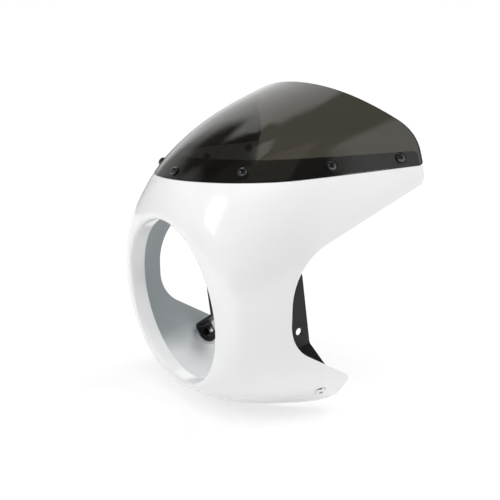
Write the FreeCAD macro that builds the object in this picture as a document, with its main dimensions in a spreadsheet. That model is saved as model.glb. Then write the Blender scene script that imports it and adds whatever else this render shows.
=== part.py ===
import FreeCAD, Part
import math
import os

Vector = FreeCAD.Vector

# Cafe racer fairing: a moulded shell round a headlight opening, with a smoked screen and two steel brackets.
# The origin is in the headlight opening, on its axis, half way along its return wall.
# +Z is up and -Y is the way the headlight looks.
# "Back" and "height" are measured from the front of the opening.

SIZES = (
    ("rake", 6.4, "forward lean of the headlight opening, degrees"),
    ("bore_radius", 93.5, "headlight opening, radius of its return wall"),
    ("bore_trim", 0.3, "stock left on the return wall before it is cut round"),
    ("bore_cut", 54, "length of that cut"),
    ("wall_depth", 18, "length of the return wall"),
    ("lip_rise", 1, "how far the control line of the lip stands in front of the opening"),
    ("lip_width", 6.8, "control width of the rolled lip"),
    ("shell_thickness", 3.5, "wall of the shell"),
    ("brow_back", 6, "first station behind the lip"),
    ("brow_side", 30.8, "half width there, past the opening"),
    ("brow_crown", 24.9, "height above the axis there, past the opening"),
    ("brow_keel", 7.6, "depth below the axis there, past the opening"),
    ("brow_square", 2.1, "squareness of the lower half there, 2 is round"),
    ("brow_crest", 2, "squareness of the upper half there"),
    ("cheek_back", 24, "second station"),
    ("cheek_side", 39, "half width"),
    ("cheek_crown", 50, "height above the axis"),
    ("cheek_keel", 25.5, "depth below the axis"),
    ("cheek_square", 2.2, "squareness of the lower half"),
    ("cheek_crest", 2.06, "squareness of the upper half"),
    ("waist_back", 70, "third station, at the fork cut-outs"),
    ("waist_side", 53.5, "half width"),
    ("waist_crown", 84, "height above the axis"),
    ("waist_keel", 40, "depth below the axis"),
    ("waist_square", 2.5, "squareness of the lower half"),
    ("waist_crest", 2.7, "squareness of the upper half"),
    ("flank_back", 150, "fourth station, along the wings"),
    ("flank_side", 64.1, "half width"),
    ("flank_crown", 124.7, "height above the axis"),
    ("flank_keel", 63.2, "depth below the axis"),
    ("flank_square", 2.7, "squareness of the lower half"),
    ("flank_crest", 2.38, "squareness of the upper half"),
    ("tail_back", 280, "last station, behind the wing tips"),
    ("tail_side", 86.2, "half width"),
    ("tail_crown", 147.1, "height above the axis"),
    ("tail_keel", 75.8, "depth below the axis"),
    ("tail_square", 2.8, "squareness of the lower half"),
    ("tail_crest", 2.66, "squareness of the upper half"),
    ("seam_front", 136.6, "height of the screen's lower edge at the front"),
    ("seam_height", 140.2, "height of that edge where it starts to rise more"),
    ("seam_bend", 75, "where that is"),
    ("seam_rear", 152.4, "height of that edge at the wing tips"),
    ("seam_radius", 700, "radius of its bend"),
    ("wing_rear", 224.5, "rear end of the wings"),
    ("wing_under", 135, "height where the lower edge of a wing meets its rear end"),
    ("wing_round", 14, "radius of the wing tip"),
    ("fork_front", 62.2, "front of the fork cut-outs"),
    ("fork_top", 58.3, "height of their upper corner"),
    ("fork_top_round", 70, "radius of the upper corner"),
    ("fork_bottom", -27, "height of their lower corner"),
    ("fork_bottom_round", 45, "radius of the lower corner"),
    ("tab_rear", 144.5, "rear end of the lower tabs"),
    ("tab_top", -73.1, "height of a tab's upper corner"),
    ("tab_top_round", 11, "radius of the upper corner"),
    ("tab_bottom", -110.5, "height of a tab's lower corner"),
    ("tab_bottom_round", 15, "radius of the lower corner"),
    ("floor_rear", 62, "rear end of the floor under the headlight"),
    ("floor_drop", 12, "fall of a tab's lower edge to the floor's rear end"),
    ("flange_front", 20.5, "height of the screen flange over the seam at the front"),
    ("flange_rear", 14.7, "height of the screen flange over the seam at the wing tips"),
    ("flange_lap", 6, "how far the flange reaches down inside the shell"),
    ("flange_end", 1.5, "distance of the flange from the rear end of the wings"),
    ("screen_thickness", 2.8, "sheet of the screen"),
    ("screen_clearance", 0.1, "room between the screen and its flange"),
    ("screen_gap", 0.6, "open seam under the screen"),
    ("screen_rear", 225.3, "rear edge of the screen"),
    ("screen_rise", 35.8, "height of the rear edge over the seam, up to the sloping edge"),
    ("screen_corner_round", 40, "radius where the two meet"),
    ("screen_slope", 40, "slope of the upper edge, degrees"),
    ("screen_tip_round", 4, "radius of the screen's lower rear corner"),
    ("screw_lift", 10.2, "height of the side screws over the seam"),
    ("screw_nose_lift", 8.2, "height of the front screw over the seam"),
    ("screw_first", 40.7, "first pair of screws, behind the opening"),
    ("screw_second", 122, "second pair"),
    ("screw_third", 200, "third pair"),
    ("screw_shank", 2.5, "radius of a screen screw"),
    ("screw_hole", 3, "radius of its holes"),
    ("screw_head", 5, "radius of its head"),
    ("screw_head_height", 3.4, "height of its head"),
    ("screw_head_round", 2.2, "rounding of its head"),
    ("screw_tail", 1.5, "length of the screw past its nut"),
    (
        "screw_length",
        "=washer_height - washer_seat + screen_thickness + screen_clearance"
        " + shell_thickness - nut_seat + nut_height + screw_tail",
        "length of the screw under its head",
    ),
    ("washer_radius", 6.2, "radius of a screw's washer"),
    ("washer_height", 1, "thickness of a screw's washer"),
    ("washer_seat", 0.35, "depth of the flat seat under a washer"),
    ("nut_corner", 4.62, "corner radius of a screw's nut"),
    ("nut_height", 4, "height of a screw's nut"),
    ("nut_seat", 0.35, "depth of the flat seat under a nut"),
    ("seat_margin", 0.4, "room round a washer or a nut in its seat"),
    ("thread_clearance", 0.05, "room between a thread and its nut"),
    ("bolt_back", 118, "bracket bolts, behind the opening"),
    ("bolt_height", -90.3, "height of the bracket bolts"),
    ("bolt_shank", 3, "radius of a bracket bolt"),
    ("bolt_hole", 3.3, "radius of its holes"),
    ("bolt_head", 6.2, "radius of its button head"),
    ("bolt_head_height", 3.2, "height of its button head"),
    ("bolt_head_round", 2.6, "rounding of its button head"),
    ("bolt_socket", 2.3, "corner radius of its hexagon socket"),
    ("bolt_socket_depth", 2, "depth of its hexagon socket"),
    ("bolt_seat", 0.8, "depth of the flat seat under its head"),
    ("bolt_tail", 3, "length of the bolt past its nut"),
    (
        "bolt_length",
        "=shell_thickness + pad_height - bolt_seat + strap_thickness"
        " + bolt_washer_height + bolt_nut_height + bolt_tail",
        "length of the bolt under its head",
    ),
    ("bolt_nut_corner", 5.77, "corner radius of its nut"),
    ("bolt_nut_height", 5, "height of its nut"),
    ("bolt_washer", 7, "radius of the washer under that nut"),
    ("bolt_washer_height", 1.2, "thickness of that washer"),
    ("pad_radius", 16, "radius of the flat pad inside a tab"),
    ("pad_height", 2.4, "height of the pad over the inner wall"),
    ("pad_root", 0.35, "how far the pad is sunk in the inner wall"),
    ("strap_width", 25.6, "width of a bracket's strap"),
    ("strap_thickness", 3, "thickness of a bracket's strap"),
    ("strap_bend", 5, "radius of its bends, at mid thickness"),
    ("strap_foot", 14.5, "distance from the bolt to the bend over its foot"),
    ("strap_half_gap", 85, "distance of a bracket's plate from the middle"),
    ("strap_plate_back", 118.4, "middle of the plate, behind the opening"),
    ("strap_plate_low", -50, "height of the bend under the plate"),
    ("strap_plate_length", 92, "length of the plate over its bend"),
    ("strap_tilt", 8.3, "forward lean of the plate, degrees"),
    ("strap_hole", 4.4, "radius of the holes in the plate"),
    ("strap_hole_low", 17.8, "distance of the lower hole from the bend"),
)
STATIONS = ("brow", "cheek", "waist", "flank", "tail")
RING_POLES = 16
ROUND = 2
CUBIC = 3
BEND_STEPS = 4
SIDEWAYS = 260
FAR_FRONT = -60
FAR_BELOW = -220
FAR_ABOVE = 330
NODES = []

doc = FreeCAD.newDocument("CafeRacerFairing")
sheet = doc.addObject("Spreadsheet::Sheet", "Sizes")
for line, (name, value, meaning) in enumerate(SIZES, start=1):
    sheet.set(f"A{line}", meaning)
    sheet.set(f"B{line}", str(value))
    sheet.setAlias(f"B{line}", name)
doc.recompute()


def size(name):
    """Value of a named size in the sheet."""
    return float(sheet.get(name))


def bind(obj, **links):
    """Bind properties of an object to expressions on the sheet's sizes."""
    for prop, expression in links.items():
        obj.setExpression(prop, expression)
    return obj


def feature(name, shape):
    """Document object that holds a shape worked out from the sheet."""
    obj = doc.addObject("Part::Feature", name)
    obj.Shape = shape
    return obj


def cylinder(name, radius, height):
    """Cylinder on +Z with its radius and height bound to the sheet."""
    return bind(doc.addObject("Part::Cylinder", name), Radius=radius, Height=height)


def cut(name, base, tool):
    """Base less tool."""
    obj = doc.addObject("Part::Cut", name)
    obj.Base = base
    obj.Tool = tool
    return obj


def common(name, base, tool):
    """What base and tool share."""
    obj = doc.addObject("Part::Common", name)
    obj.Base = base
    obj.Tool = tool
    return obj


def fuse(name, shapes):
    """Several objects in one solid."""
    obj = doc.addObject("Part::MultiFuse", name)
    obj.Shapes = shapes
    return obj


def node(obj, label, pieces):
    """Mark an object as a finished sub-part of a number of separate pieces."""
    obj.Label = label
    NODES.append((obj, pieces))
    return obj


# The form of the shell and the screen: rings of control points along the headlight axis.

TILT = FreeCAD.Rotation(Vector(1, 0, 0), size("rake"))
AXIS_BACK = TILT.multVec(Vector(0, 1, 0))
FRONT = AXIS_BACK * (-size("wall_depth") / 2)
RING_FACTOR = 3 / (2 + math.cos(2 * math.pi / RING_POLES))


def guide(direction):
    """Control points (back, reach) of the skin in one direction: side, crown or keel."""
    bore = size("bore_radius") - size("bore_trim")
    front = -size("lip_rise")
    points = [
        (size("wall_depth"), bore),
        (size("wall_depth") / 2, bore),
        (front, bore),
        (front, bore + size("lip_width")),
    ]
    for station in STATIONS:
        points.append((size(station + "_back"), size("bore_radius") + size(f"{station}_{direction}")))
    return points


def inset(points, depth):
    """Move a control line into the material by a depth, square to each of its runs."""
    normals = []
    for (back, reach), (next_back, next_reach) in zip(points, points[1:]):
        run = math.hypot(next_back - back, next_reach - reach)
        normals.append(((next_reach - reach) / run, (back - next_back) / run))
    before = [normals[0]] + normals
    after = normals + [normals[-1]]
    moved = []
    for (back, reach), (b1, r1), (b2, r2) in zip(points, before, after):
        mitre = depth / (1 + b1 * b2 + r1 * r2)
        moved.append((back + mitre * (b1 + b2), reach + mitre * (r1 + r2)))
    return moved


def skin(depth):
    """Smooth surface at a depth under the outside of the fairing."""
    side = inset(guide("side"), depth)
    crown = inset(guide("crown"), depth)
    keel = inset(guide("keel"), depth)
    plain = [ROUND] * (len(side) - len(STATIONS))
    squares = plain + [size(station + "_square") for station in STATIONS]
    crests = plain + [size(station + "_crest") for station in STATIONS]
    poles = []
    for index in range(RING_POLES):
        angle = 2 * math.pi * index / RING_POLES - math.pi / 2
        across, rise = math.cos(angle), math.sin(angle)
        column = []
        for beside, above, below, square, crest in zip(side, crown, keel, squares, crests):
            end = above if rise > 0 else below
            power = ROUND / crest if rise > 0 else ROUND / square
            x = RING_FACTOR * beside[1] * math.copysign(abs(across) ** power, across)
            z = RING_FACTOR * end[1] * math.copysign(abs(rise) ** power, rise)
            y = beside[0] * across**2 + end[0] * rise**2
            column.append(FRONT + TILT.multVec(Vector(x, y, z)))
        poles.append(column)
    spans = len(side) - CUBIC
    ends = [CUBIC + 1]
    surface = Part.BSplineSurface()
    surface.buildFromPolesMultsKnots(
        poles,
        [1] * (RING_POLES + 1),
        ends + [1] * (spans - 1) + ends,
        list(range(RING_POLES + 1)),
        list(range(spans + 1)),
        True,
        False,
        CUBIC,
        CUBIC,
    )
    return surface


def closed(faces):
    """Solid inside a set of faces that meet edge to edge."""
    shell = Part.makeShell(faces)
    shell.sewShape()
    solid = Part.makeSolid(shell)
    if solid.Volume < 0:
        solid.reverse()
    return solid


def wall(outer_depth, inner_depth, start):
    """Solid between two skins, from a span of the skin to its rear end."""
    outer, inner = skin(outer_depth), skin(inner_depth)
    end = outer.bounds()[3]
    faces = [s.toShape(0, RING_POLES, start, end) for s in (outer, inner)]
    for place in (start, end):
        faces.append(Part.makeRuledSurface(outer.vIso(place).toShape(), inner.vIso(place).toShape()))
    return closed(faces)


def side_prism(corners):
    """Solid across the whole width over a side outline of (back, height, radius) corners."""
    points = [FRONT + Vector(-SIDEWAYS, back, height) for back, height, _ in corners]
    edges = []
    starts = []
    finishes = []
    for index, (_, _, radius) in enumerate(corners):
        corner = points[index]
        behind = (points[index - 1] - corner).normalize()
        ahead = (points[(index + 1) % len(points)] - corner).normalize()
        half = behind.getAngle(ahead) / 2
        reach = radius / math.tan(half)
        starts.append(corner + behind * reach)
        finishes.append(corner + ahead * reach)
        if radius:
            middle = (behind + ahead).normalize() * (radius / math.sin(half) - radius)
            edges.append(Part.Arc(starts[-1], corner + middle, finishes[-1]).toShape())
    for index, finish in enumerate(finishes):
        edges.append(Part.LineSegment(finish, starts[(index + 1) % len(starts)]).toShape())
    outline = Part.Wire(Part.__sortEdges__(edges))
    return Part.Face(outline).extrude(Vector(2 * SIDEWAYS, 0, 0))


def seam(back, lift):
    """Height of a line that runs along the seam of the screen."""
    bend, height = size("seam_bend"), size("seam_height")
    if back < bend:
        slope = (height - size("seam_front")) / bend
    else:
        slope = (size("seam_rear") - height) / (size("wing_rear") - bend)
    return height + lift + (back - bend) * slope


def seam_corners(rear, lift, rear_round):
    """Corners of that line from the front to a rear end."""
    return [
        (FAR_FRONT, seam(FAR_FRONT, lift), 0),
        (size("seam_bend"), seam(size("seam_bend"), lift), size("seam_radius")),
        (rear, seam(rear, lift), rear_round),
    ]


def tab_profile():
    """Side outline of the moulding: wings, fork cut-outs, tabs and floor."""
    return seam_corners(size("wing_rear"), 0, size("screen_gap")) + [
        (size("wing_rear"), size("wing_under"), size("wing_round")),
        (size("fork_front"), size("fork_top"), size("fork_top_round")),
        (size("fork_front"), size("fork_bottom"), size("fork_bottom_round")),
        (size("tab_rear"), size("tab_top"), size("tab_top_round")),
        (size("tab_rear"), size("tab_bottom"), size("tab_bottom_round")),
        (size("floor_rear"), size("tab_bottom") - size("floor_drop"), 0),
        (size("floor_rear"), FAR_BELOW, 0),
        (FAR_FRONT, FAR_BELOW, 0),
    ]


def flange_profile():
    """Side outline of the flange behind the screen."""
    end = size("wing_rear") - size("flange_end")
    return list(reversed(seam_corners(end, -size("flange_lap"), 0))) + [
        (FAR_FRONT, seam(FAR_FRONT, size("flange_front")), 0),
        (end, seam(end, size("flange_rear")), size("screen_tip_round")),
    ]


def screen_profile():
    """Side outline of the screen."""
    slope = math.tan(math.radians(size("screen_slope")))
    corner = seam(size("screen_rear"), size("screen_rise"))
    peak = size("screen_rear") - (FAR_ABOVE - corner) / slope
    return seam_corners(size("screen_rear"), size("screen_gap"), size("screen_tip_round")) + [
        (size("screen_rear"), corner, size("screen_corner_round")),
        (peak, FAR_ABOVE, 0),
        (FAR_FRONT, FAR_ABOVE, 0),
    ]


# Places where fasteners go through the skin: a frame with its Z axis square to the outside.

OUTSIDE = skin(0)


def site(start, direction):
    """Frame on the outside of the skin, where a line from a start point leaves it."""
    start = FRONT + start
    finish = start + direction * SIDEWAYS
    points, _ = Part.LineSegment(start, finish).intersectCS(OUTSIDE)
    hit = min((Vector(p.X, p.Y, p.Z) for p in points), key=lambda p: p.distanceToPoint(start))
    normal = OUTSIDE.normal(*OUTSIDE.parameter(hit))
    if normal.dot(direction) < 0:
        normal = -normal
    return FreeCAD.Placement(hit, FreeCAD.Rotation(Vector(0, 0, 1), normal))


def pair_sites(back, height):
    """Frames on the left and right side at the same place."""
    return [site(Vector(0, back, height), Vector(turn, 0, 0)) for turn in (1, -1)]


def screw_sites():
    """Frames of the seven screen screws."""
    nose = Vector(0, size("screw_third"), seam(0, size("screw_nose_lift")))
    places = [site(nose, Vector(0, -1, 0))]
    for name in ("screw_first", "screw_second", "screw_third"):
        places += pair_sites(size(name), seam(size(name), size("screw_lift")))
    return places


SCREWS = screw_sites()
BOLTS = pair_sites(size("bolt_back"), size("bolt_height"))


def rods(name, places, radius, top, bottom):
    """One round bar at each place, between two heights over the skin."""
    bars = []
    for place in places:
        bar = Part.makeCylinder(radius, top - bottom, Vector(0, 0, bottom))
        bar.Placement = place
        bars.append(bar)
    return feature(name, Part.makeCompound(bars))


def copies(name, pattern, places, height):
    """Group of separate copies of one solid, each raised along its own axis."""
    doc.recompute()
    group = []
    for place in places:
        piece = pattern.Shape.copy()
        piece.Placement = place.multiply(FreeCAD.Placement(Vector(0, 0, height), FreeCAD.Rotation()))
        group.append(piece)
    return feature(name, Part.makeCompound(group))


# Heights over the skin, shared by the pieces that are screwed together.

FLANGE_OUT = size("screen_thickness") + size("screen_clearance")
FLANGE_IN = FLANGE_OUT + size("shell_thickness")
WASHER_UNDER = -size("washer_seat")
HEAD_UNDER = WASHER_UNDER + size("washer_height")
NUT_TOP = size("nut_seat") - FLANGE_IN
NUT_UNDER = NUT_TOP - size("nut_height")
BOLT_UNDER = -size("bolt_seat")
PAD_FACE = -size("shell_thickness") - size("pad_height")
FOOT_FACE = PAD_FACE - size("strap_thickness")
BOLT_NUT_TOP = FOOT_FACE - size("bolt_washer_height")
BOLT_NUT_UNDER = BOLT_NUT_TOP - size("bolt_nut_height")
DEEP = 40


def fairing_shell():
    """The moulding: skin with a rolled lip, stepped flange, flat pads and holes."""
    lip_row = 0
    step_row = 2
    body = common(
        "shell_blank",
        feature("moulded_skin", wall(0, size("shell_thickness"), lip_row)),
        feature("shell_outline", side_prism(tab_profile())),
    )
    flange = common(
        "flange_band",
        feature("flange_skin", wall(FLANGE_OUT, FLANGE_IN, step_row)),
        feature("flange_outline", side_prism(flange_profile())),
    )
    pad_root = size("pad_root") - size("shell_thickness")
    pads = rods("tab_pads", BOLTS, size("pad_radius"), pad_root, PAD_FACE)
    whole = fuse("shell_whole", [body, flange, pads])
    bore = cylinder("headlight_bore", "Sizes.bore_radius", "Sizes.bore_cut")
    bore_start = AXIS_BACK * (-size("bore_cut") / 2)
    bore.Placement = FreeCAD.Placement(bore_start, FreeCAD.Rotation(Vector(0, 0, 1), AXIS_BACK))
    holes = rods("shell_screw_holes", SCREWS, size("screw_hole"), DEEP, -DEEP)
    nut_seats = rods("nut_seats", SCREWS, size("nut_corner") + size("seat_margin"), NUT_TOP, -DEEP)
    bolt_holes = rods("shell_bolt_holes", BOLTS, size("bolt_hole"), DEEP, -DEEP)
    head_seats = rods("head_seats", BOLTS, size("bolt_head") + size("seat_margin"), DEEP, BOLT_UNDER)
    tools = fuse("shell_tools", [bore, holes, nut_seats, bolt_holes, head_seats])
    return node(cut("shell", whole, tools), "fairing_shell", 1)


def windscreen():
    """The screen: sheet of the same form, flush with the shell, with screw holes and washer seats."""
    screen_row = 2
    blank = common(
        "screen_blank",
        feature("screen_skin", wall(0, size("screen_thickness"), screen_row)),
        feature("screen_outline", side_prism(screen_profile())),
    )
    holes = rods("screen_holes", SCREWS, size("screw_hole"), DEEP, -DEEP)
    seats = rods("washer_seats", SCREWS, size("washer_radius") + size("seat_margin"), DEEP, WASHER_UNDER)
    return node(cut("screen", blank, fuse("screen_tools", [holes, seats])), "windscreen", 1)


def rounded_pin(name, head_radius, head_height, head_round, shank_radius, shank_length):
    """Headed pin, head upwards from z = 0, with the top of its head rounded."""
    head = cylinder(name + "_head", head_radius, head_height)
    shank = cylinder(name + "_shank", shank_radius, shank_length)
    bind(shank, **{"Placement.Base.z": f"-{shank_length}"})
    doc.recompute()
    dome = doc.addObject("Part::Fillet", name + "_dome")
    dome.Base = head
    top = max(range(len(head.Shape.Edges)), key=lambda i: head.Shape.Edges[i].CenterOfMass.z)
    dome.Edges = [(top + 1, size(head_round), size(head_round))]
    return fuse(name, [dome, shank])


def hexagon_nut(name, corner, height, hole):
    """Hexagon nut upwards from z = 0."""
    outside = doc.addObject("Part::Prism", name + "_outside")
    outside.Polygon = 6
    bind(outside, Circumradius=corner, Height=height)
    return cut(name, outside, cylinder(name + "_hole", hole, height))


def ring(name, radius, hole, height):
    """Flat washer upwards from z = 0."""
    return cut(name, cylinder(name + "_disc", radius, height), cylinder(name + "_hole", hole, height))


def screen_fasteners():
    """Screws, washers and nuts of the screen."""
    screw = rounded_pin(
        "screen_screw",
        "Sizes.screw_head",
        "Sizes.screw_head_height",
        "screw_head_round",
        "Sizes.screw_shank",
        "Sizes.screw_length",
    )
    washer = ring("screen_washer", "Sizes.washer_radius", "Sizes.screw_hole", "Sizes.washer_height")
    nut = hexagon_nut(
        "screen_nut",
        "Sizes.nut_corner",
        "Sizes.nut_height",
        "Sizes.screw_shank + Sizes.thread_clearance",
    )
    node(copies("screw_group", screw, SCREWS, HEAD_UNDER), "screen_screws", len(SCREWS))
    node(copies("washer_group", washer, SCREWS, WASHER_UNDER), "screen_washers", len(SCREWS))
    node(copies("nut_group", nut, SCREWS, NUT_UNDER), "screen_nuts", len(SCREWS))


def bracket_fasteners():
    """Button-head bolts, washers and nuts of the brackets."""
    bolt = rounded_pin(
        "bracket_bolt_blank",
        "Sizes.bolt_head",
        "Sizes.bolt_head_height",
        "bolt_head_round",
        "Sizes.bolt_shank",
        "Sizes.bolt_length",
    )
    socket = doc.addObject("Part::Prism", "bolt_socket_hexagon")
    socket.Polygon = 6
    bind(socket, Circumradius="Sizes.bolt_socket", Height="Sizes.bolt_socket_depth")
    bind(socket, **{"Placement.Base.z": "Sizes.bolt_head_height - Sizes.bolt_socket_depth"})
    washer = ring("bracket_washer", "Sizes.bolt_washer", "Sizes.bolt_hole", "Sizes.bolt_washer_height")
    nut = hexagon_nut(
        "bracket_nut",
        "Sizes.bolt_nut_corner",
        "Sizes.bolt_nut_height",
        "Sizes.bolt_shank + Sizes.thread_clearance",
    )
    bolt = cut("bracket_bolt", bolt, socket)
    node(copies("bolt_group", bolt, BOLTS, BOLT_UNDER), "bracket_bolts", len(BOLTS))
    node(copies("bracket_washer_group", washer, BOLTS, BOLT_NUT_TOP), "bracket_washers", len(BOLTS))
    node(copies("bracket_nut_group", nut, BOLTS, BOLT_NUT_UNDER), "bracket_nuts", len(BOLTS))


def rounded_path(points, radius):
    """Points and directions along a line, with each inner corner replaced by an arc of a few steps."""
    path = [(points[0], (points[1] - points[0]).normalize())]
    for before, corner, after in zip(points, points[1:], points[2:]):
        behind = (before - corner).normalize()
        ahead = (after - corner).normalize()
        half = behind.getAngle(ahead) / 2
        reach = radius / math.tan(half)
        first, last = corner + behind * reach, corner + ahead * reach
        middle = corner + (behind + ahead).normalize() * (radius / math.sin(half) - radius)
        arc = Part.Arc(first, middle, last)
        turn = (arc.LastParameter - arc.FirstParameter) / BEND_STEPS
        for step in range(BEND_STEPS + 1):
            place = arc.FirstParameter + step * turn
            path.append((arc.value(place), arc.tangent(place)[0]))
    return path + [(points[-1], (points[-1] - points[-2]).normalize())]


def strip(sections):
    """Solid through a row of four-cornered sections."""
    faces = [Part.Face(Part.makePolygon(ring + ring[:1])) for ring in (sections[0], sections[-1])]
    for ring, next_ring in zip(sections, sections[1:]):
        for corner in range(len(ring)):
            edge = Part.LineSegment(ring[corner - 1], ring[corner]).toShape()
            next_edge = Part.LineSegment(next_ring[corner - 1], next_ring[corner]).toShape()
            faces.append(Part.makeRuledSurface(edge, next_edge))
    return closed(faces)


def right_strap():
    """Bent strap: a foot on the pad of the right tab, an arm across and an upright plate with two holes."""
    place = BOLTS[1]
    half_width = size("strap_width") / 2
    thick = size("strap_thickness")
    half_thick = thick / 2
    outward = place.Rotation.multVec(Vector(0, 0, 1))
    up = Vector(0, 0, 1)
    along_foot = (up - outward * up.dot(outward)).normalize()
    bolt = place.multVec(Vector(0, 0, PAD_FACE - half_thick))
    lean = FreeCAD.Rotation(Vector(1, 0, 0), size("strap_tilt"))
    along_plate = lean.multVec(up)
    plate_foot = FRONT + Vector(-size("strap_half_gap"), size("strap_plate_back"), size("strap_plate_low"))
    plate_end = plate_foot + along_plate * (size("strap_plate_length") - half_width)
    path = rounded_path(
        [bolt, bolt + along_foot * size("strap_foot"), plate_foot, plate_end],
        size("strap_bend"),
    )
    foot_width = outward.cross(along_foot).normalize()
    plate_width = lean.multVec(Vector(0, 1, 0))
    lengths = [0]
    for (first, _), (second, _) in zip(path, path[1:]):
        lengths.append(lengths[-1] + first.distanceToPoint(second))
    arm_start, arm_end = lengths[BEND_STEPS + 1], lengths[-BEND_STEPS - 2]
    sections = []
    for (point, ahead), length in zip(path, lengths):
        blend = min(1, max(0, (length - arm_start) / (arm_end - arm_start)))
        width = foot_width * (1 - blend) + plate_width * blend
        face = ahead.cross(width).normalize()
        width = face.cross(ahead).normalize() * half_width
        face = face * half_thick
        sections.append(
            [point + width + face, point - width + face, point - width - face, point + width - face]
        )
    strap = strip(sections)
    across = Vector(1, 0, 0)
    foot_round = Part.makeCylinder(half_width, thick, bolt - outward * half_thick, outward)
    plate_round = Part.makeCylinder(half_width, thick, plate_end - across * half_thick, across)
    solid = strap.fuse([foot_round, plate_round])
    low_hole = plate_foot + along_plate * size("strap_hole_low")
    holes = [Part.makeCylinder(size("bolt_hole"), 2 * thick, bolt - outward * thick, outward)]
    for centre in (low_hole, plate_end):
        holes.append(Part.makeCylinder(size("strap_hole"), DEEP, centre - across * DEEP / 2, across))
    return solid.cut(holes).removeSplitter()


def brackets():
    """The right strap and its mirror image."""
    strap = right_strap()
    node(feature("right_strap", strap), "bracket_right", 1)
    node(feature("left_strap", strap.mirror(Vector(0, 0, 0), Vector(1, 0, 0))), "bracket_left", 1)


fairing_shell()
windscreen()
screen_fasteners()
brackets()
bracket_fasteners()
doc.recompute()

for obj in doc.Objects:
    if "Invalid" in obj.State or "Error" in obj.State:
        raise RuntimeError(f"{obj.Name} did not build: {obj.State}")
for obj, pieces in NODES:
    if obj.Shape.isNull() or not obj.Shape.isValid():
        raise RuntimeError(f"{obj.Label} is not a valid solid")
    if len(obj.Shape.Solids) != pieces:
        raise RuntimeError(f"{obj.Label} has {len(obj.Shape.Solids)} pieces, not {pieces}")

os.makedirs("parts", exist_ok=True)
for obj, _ in NODES:
    obj.Shape.exportStep(f"parts/{obj.Label}.step")
    print(obj.Label, len(obj.Shape.Solids), round(obj.Shape.Volume))
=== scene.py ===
"""Looks of a cafe racer fairing: a lacquered shell, a smoked screen, black brackets and their fasteners."""

import logging
import math
from dataclasses import dataclass
from enum import Enum
from typing import Any, Sequence

import bmesh
import bpy
from mathutils import Matrix, Vector


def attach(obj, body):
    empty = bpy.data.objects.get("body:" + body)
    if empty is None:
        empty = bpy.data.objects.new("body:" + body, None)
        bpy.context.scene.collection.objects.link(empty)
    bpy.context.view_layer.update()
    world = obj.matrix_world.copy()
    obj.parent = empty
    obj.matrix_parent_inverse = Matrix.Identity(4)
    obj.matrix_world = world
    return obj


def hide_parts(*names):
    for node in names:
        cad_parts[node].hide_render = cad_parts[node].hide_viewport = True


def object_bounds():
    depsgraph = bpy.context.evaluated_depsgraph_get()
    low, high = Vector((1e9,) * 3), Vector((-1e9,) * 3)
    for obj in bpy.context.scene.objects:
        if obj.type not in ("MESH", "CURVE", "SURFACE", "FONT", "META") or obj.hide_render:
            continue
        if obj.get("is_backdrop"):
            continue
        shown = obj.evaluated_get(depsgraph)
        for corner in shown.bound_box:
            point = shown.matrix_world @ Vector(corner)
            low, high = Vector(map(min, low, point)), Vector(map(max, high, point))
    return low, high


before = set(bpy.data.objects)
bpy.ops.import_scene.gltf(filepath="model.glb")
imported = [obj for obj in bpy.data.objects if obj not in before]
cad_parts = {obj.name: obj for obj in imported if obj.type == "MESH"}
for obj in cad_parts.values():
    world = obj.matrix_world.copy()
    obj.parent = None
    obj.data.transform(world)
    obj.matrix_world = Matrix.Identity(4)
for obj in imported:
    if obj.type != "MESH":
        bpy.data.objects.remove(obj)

LOG = logging.getLogger("cafe_racer_fairing")
MM = 0.001
ROOT = "root"
PICTURE_WIDTH_MM = 36.0
MERGE_MM = 0.001
NORMAL_DIGITS = 3
SQUARE_SHARE = 0.999
SHARP_DEGREES = 30.0
ROUND_SEGMENTS = 64
HOLE_SEGMENTS = 40
HEAD_EDGE_MM = 0.2
HEAD_SINK_MM = 0.02
WASHER_EDGE_MM = 0.25
CHAMFER_DEGREES = 30.0
COUNTERSINK_MM = 0.5
THREAD_ROOM_MM = 0.05
OVERSHOOT_MM = 1.0

Color = tuple[float, float, float, float]
Point = tuple[float, float]
Profile = Sequence[Point]


def linear(code: str) -> Color:
    """Turn an sRGB hex colour into linear light.

    Args:
        code: Six hex digits, as in "F4F4F6".

    Returns:
        Linear red, green, blue and an alpha of one.
    """
    channels = []
    for start in (0, 2, 4):
        value = int(code[start : start + 2], 16) / 255
        channels.append(value / 12.92 if value <= 0.04045 else ((value + 0.055) / 1.055) ** 2.4)
    return channels[0], channels[1], channels[2], 1.0


def add_node(
    tree: bpy.types.NodeTree, kind: str, inputs: dict[str | int, Any] | None = None, **settings: Any
) -> bpy.types.Node:
    """Add one node with its settings, values and links.

    Args:
        tree: Node tree that gets the node.
        kind: Blender's type name of the node.
        inputs: Value or linked output socket for each input, by its name or number.
        settings: Attributes of the node itself.

    Returns:
        The new node.
    """
    node = tree.nodes.new(kind)
    for name, value in settings.items():
        setattr(node, name, value)
    for socket, value in (inputs or {}).items():
        if isinstance(value, bpy.types.NodeSocket):
            tree.links.new(value, node.inputs[socket])
        else:
            node.inputs[socket].default_value = value
    return node


def per_metre(length_mm: float) -> float:
    """Texture scale, in repeats per metre, of a pattern with a real length in millimetres."""
    return 1 / (length_mm * MM)


class Finish:
    """A real material and how its surface was made."""

    name: str

    def shade(self, tree: bpy.types.NodeTree) -> bpy.types.NodeSocket:
        """Build the shader and return its output; each finish has its own."""
        raise NotImplementedError

    def build(self) -> bpy.types.Material:
        """Make the Blender material of this finish.

        Returns:
            The new material.
        """
        material = bpy.data.materials.new(self.name)
        material.use_nodes = True
        tree = material.node_tree
        tree.nodes.clear()
        add_node(tree, "ShaderNodeOutputMaterial", {"Surface": self.shade(tree)})
        LOG.info("finish %s", self.name)
        return material


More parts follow.
